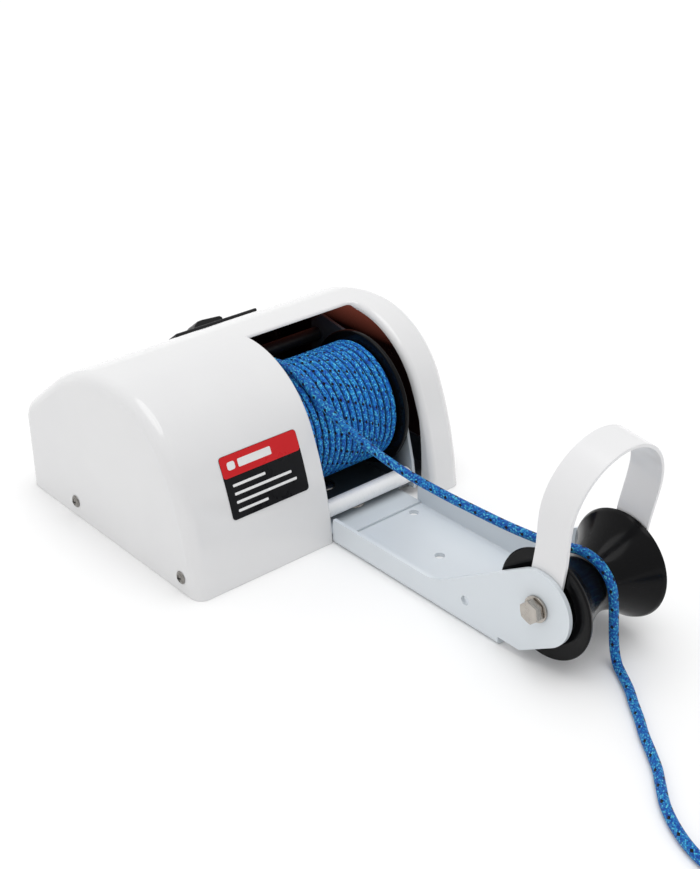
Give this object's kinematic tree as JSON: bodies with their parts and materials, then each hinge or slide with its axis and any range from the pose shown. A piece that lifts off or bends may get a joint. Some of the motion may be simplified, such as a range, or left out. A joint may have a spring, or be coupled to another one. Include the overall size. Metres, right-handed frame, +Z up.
{
  "type": "anchor windlass",
  "caption": "Electric anchor windlass: rope drum and gear drive under a domed moulded cover, bow bracket with trumpet roller and hinged bail, rope led over the roller to a thimble eye.",
  "frame": {"origin": "centre of the footprint without the free line, on the deck", "axes": "+X from the cover towards the bow roller, +Z up, +Y towards the drum's far end, away from the motor"},
  "size_m": [0.6576, 0.2398, 0.1476],
  "materials": {
    "cover_gloss": "white gloss moulding",
    "bracket_paint": "pale blue-grey powder coat, semi-gloss",
    "bail_paint": "white powder coat, semi-gloss",
    "black_gloss": "black gloss moulding",
    "switch_black": "black satin moulding",
    "stainless": "plain stainless steel",
    "bright_steel": "bright turned steel",
    "gear_steel": "machined steel",
    "bush_bronze": "sintered bronze",
    "motor_paint": "black paint",
    "magnet_ferrite": "dull ferrite",
    "rope_braid": "blue braided line with dark tracers",
    "label_print": "printed film, blank",
    "rubber_black": "black rubber"
  },
  "bodies": {
    "frame": {"cover": "cover_gloss", "cover_screw_1": "stainless", "cover_screw_2": "stainless", "cover_screw_3": "stainless", "cover_screw_4": "stainless", "label": "label_print", "base_plate": "bracket_paint", "bow_bracket": "bracket_paint", "bracket_bolt_1": "stainless", "bracket_bolt_2": "stainless", "near_side_plate": "bracket_paint", "far_side_plate": "bracket_paint", "gear_plate": "gear_steel", "gear_plate_spacer_1": "bright_steel", "gear_plate_spacer_2": "bright_steel", "gear_plate_spacer_3": "bright_steel", "gear_plate_spacer_4": "bright_steel", "front_tie_bar": "bright_steel", "rear_tie_bar": "switch_black", "near_drum_bush": "bush_bronze", "far_drum_bush": "bush_bronze", "inner_idler_bush": "bush_bronze", "outer_idler_bush": "bush_bronze", "motor_can": "motor_paint", "motor_end_cap": "switch_black", "motor_magnet_1": "magnet_ferrite", "motor_magnet_2": "magnet_ferrite", "relay_box": "switch_black", "relay_box_lid": "switch_black", "cable_gland": "rubber_black", "switch_panel": "switch_black", "switch_body": "switch_black", "roller_bolt": "stainless", "near_washer": "stainless", "far_washer": "stainless", "lock_nut": "stainless", "rope_line": "rope_braid", "rope_coil": "rope_braid", "rope_tail": "rope_braid", "crimp_sleeve": "stainless", "rope_thimble": "stainless"},
    "drum": {"drum_spool": "black_gloss", "drum_shaft": "bright_steel", "near_shaft_clip": "stainless", "far_shaft_clip": "stainless", "drum_gear": "gear_steel", "rope_winding": "rope_braid"},
    "idler": {"idler_shaft": "bright_steel", "idler_gear": "gear_steel", "idler_pinion": "gear_steel"},
    "rotor": {"motor_shaft": "bright_steel", "motor_armature": "gear_steel", "motor_commutator": "bush_bronze", "motor_pinion": "gear_steel"},
    "roller": {"anchor_roller": "black_gloss", "roller_bush": "bush_bronze"},
    "bail": {"rope_bail": "bail_paint"},
    "rocker": {"switch_rocker": "switch_black"}
  },
  "joints": [
    {"name": "drum_turn", "type": "hinge", "parent": "frame", "child": "drum", "pos_m": [-0.0687, 0.03225, 0.061], "axis": [0, 1, 0], "continuous": true},
    {"name": "idler_turn", "type": "hinge", "parent": "frame", "child": "idler", "pos_m": [-0.11289, -0.0305, 0.05249], "axis": [0, 1, 0], "continuous": true},
    {"name": "rotor_turn", "type": "hinge", "parent": "frame", "child": "rotor", "pos_m": [-0.15487, -0.07, 0.03629], "axis": [0, 1, 0], "continuous": true},
    {"name": "roller_turn", "type": "hinge", "parent": "frame", "child": "roller", "pos_m": [0.1796, 0.03475, 0.0424], "axis": [0, 1, 0], "continuous": true},
    {"name": "bail_swing", "type": "hinge", "parent": "frame", "child": "bail", "pos_m": [0.1796, 0.03475, 0.0424], "axis": [0, 1, 0], "range_deg": [-60, 78]},
    {"name": "rocker_tilt", "type": "hinge", "parent": "frame", "child": "rocker", "pos_m": [-0.18292, 0.0225, 0.0862], "axis": [0.7902, 0, 0.6129], "range_deg": [-8, 8], "stiffness_Nm_per_rad": 0.4}
  ],
  "couplings": [
    {"joint": "idler_turn", "follows": "drum_turn", "ratio": -5},
    {"joint": "rotor_turn", "follows": "drum_turn", "ratio": 25}
  ]
}
